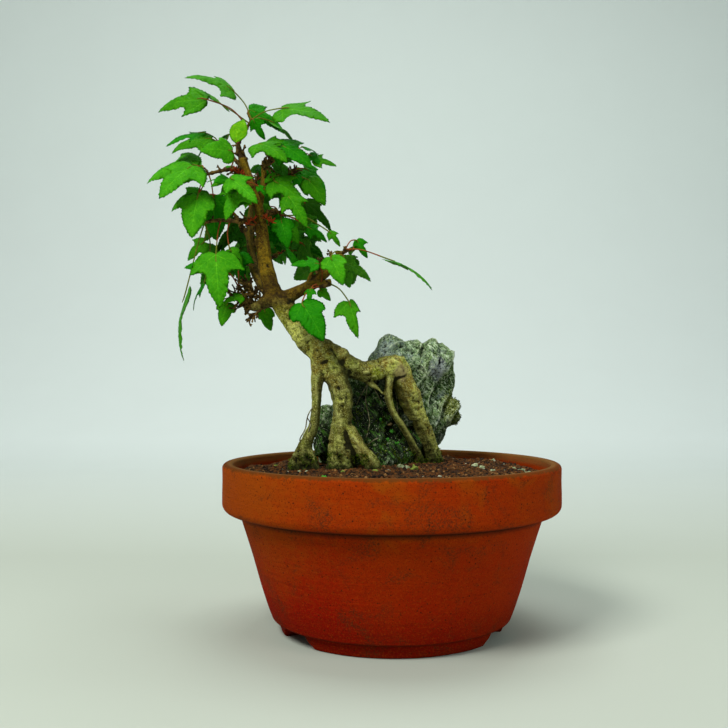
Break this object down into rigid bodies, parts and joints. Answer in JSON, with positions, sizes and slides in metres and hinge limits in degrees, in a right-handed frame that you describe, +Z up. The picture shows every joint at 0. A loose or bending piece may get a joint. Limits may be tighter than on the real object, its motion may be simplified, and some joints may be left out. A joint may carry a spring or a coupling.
{
  "type": "maple bonsai",
  "caption": "Maple bonsai rooted over a craggy rock, with a leaning trunk and a sparse crown of three-lobed leaves, in a round terracotta training pot with soil.",
  "frame": {"origin": "middle of the bottom of the whole plant's box, on the surface that the pot stands on", "axes": "+Z up, the plant's longest side; -Y towards its front, the side of the picture; +X to the right as seen from the front"},
  "size_m": [0.2295, 0.1844, 0.3021],
  "materials": {
    "terracotta": "unglazed fired clay, stained, matt",
    "soil": "reddish-brown clay granules, matt",
    "rock": "craggy grey-green stone with moss, matt",
    "root_bark": "wrinkled olive-brown bark of trunk and roots",
    "bough_bark": "darker brown knobbly bark of leader and boughs",
    "leaf": "bright green leaf, softly glossy"
  },
  "bodies": {
    "root": {"pot": "terracotta", "soil": "soil", "rock": "rock", "trunk": "root_bark", "root_left": "root_bark", "root_arch": "root_bark", "root_right": "root_bark", "root_inner": "root_bark", "leader": "bough_bark", "bough_right": "bough_bark", "bough_left": "bough_bark", "rear_stem": "bough_bark", "spur_right": "bough_bark", "leaves_apex": "leaf", "leaves_upper_left": "leaf", "leaves_upper_right": "leaf", "leaves_left": "leaf", "leaves_front": "leaf", "leaves_right": "leaf", "leaves_lower_right": "leaf", "leaves_lower_left": "leaf", "leaves_low": "leaf", "leaves_bough_tip": "leaf", "leaves_bough_low": "leaf", "leaves_rear_top": "leaf", "leaves_rear_left": "leaf", "leaves_rear_right": "leaf", "leaves_rear_middle": "leaf", "leaves_rear_low_left": "leaf", "leaves_rear_low_right": "leaf", "leaves_rear_bough": "leaf"}
  },
  "joints": []
}
